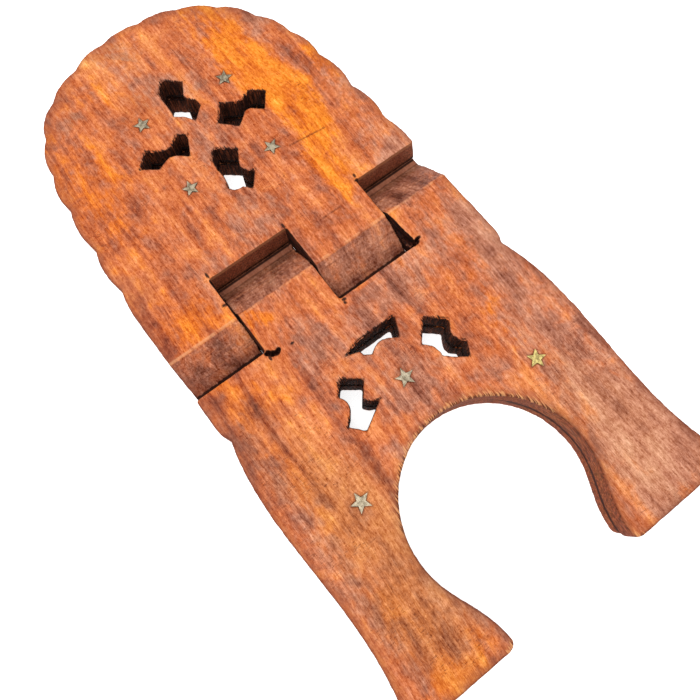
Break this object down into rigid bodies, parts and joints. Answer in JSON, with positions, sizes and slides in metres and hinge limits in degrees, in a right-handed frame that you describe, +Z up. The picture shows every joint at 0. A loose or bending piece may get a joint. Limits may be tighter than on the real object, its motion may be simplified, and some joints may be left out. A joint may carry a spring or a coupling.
{
  "type": "bible stand",
  "caption": "Folding wooden bible stand sawn from one plank: scalloped pierced head, interlocked carved knuckle hinge, arched legs, brass star inlays.",
  "frame": {"origin": "centre of the folded stand's outline, on the face it lies on", "axes": "+X across the width, +Y along the length towards the scalloped head, +Z up out of the front face"},
  "size_m": [0.1522, 0.305, 0.022],
  "materials": {
    "plank_wood": "oiled, worn",
    "star_brass": "aged"
  },
  "bodies": {
    "back_headed_leaf": {"leaf_b": "plank_wood", "star_b_head_1": "star_brass", "star_b_head_2": "star_brass", "star_b_head_3": "star_brass", "star_b_head_4": "star_brass", "star_b_legs_1": "star_brass", "star_b_legs_2": "star_brass", "star_b_legs_3": "star_brass"},
    "front_headed_leaf": {"leaf_a": "plank_wood", "star_a_head_1": "star_brass", "star_a_head_2": "star_brass", "star_a_head_3": "star_brass", "star_a_head_4": "star_brass", "star_a_legs_1": "star_brass", "star_a_legs_2": "star_brass", "star_a_legs_3": "star_brass"}
  },
  "joints": [
    {"name": "knuckle_hinge", "type": "hinge", "parent": "back_headed_leaf", "child": "front_headed_leaf", "pos_m": [-0.0023, 0.005, 0.011], "axis": [1, 0, 0], "range_deg": [0, 117]}
  ]
}
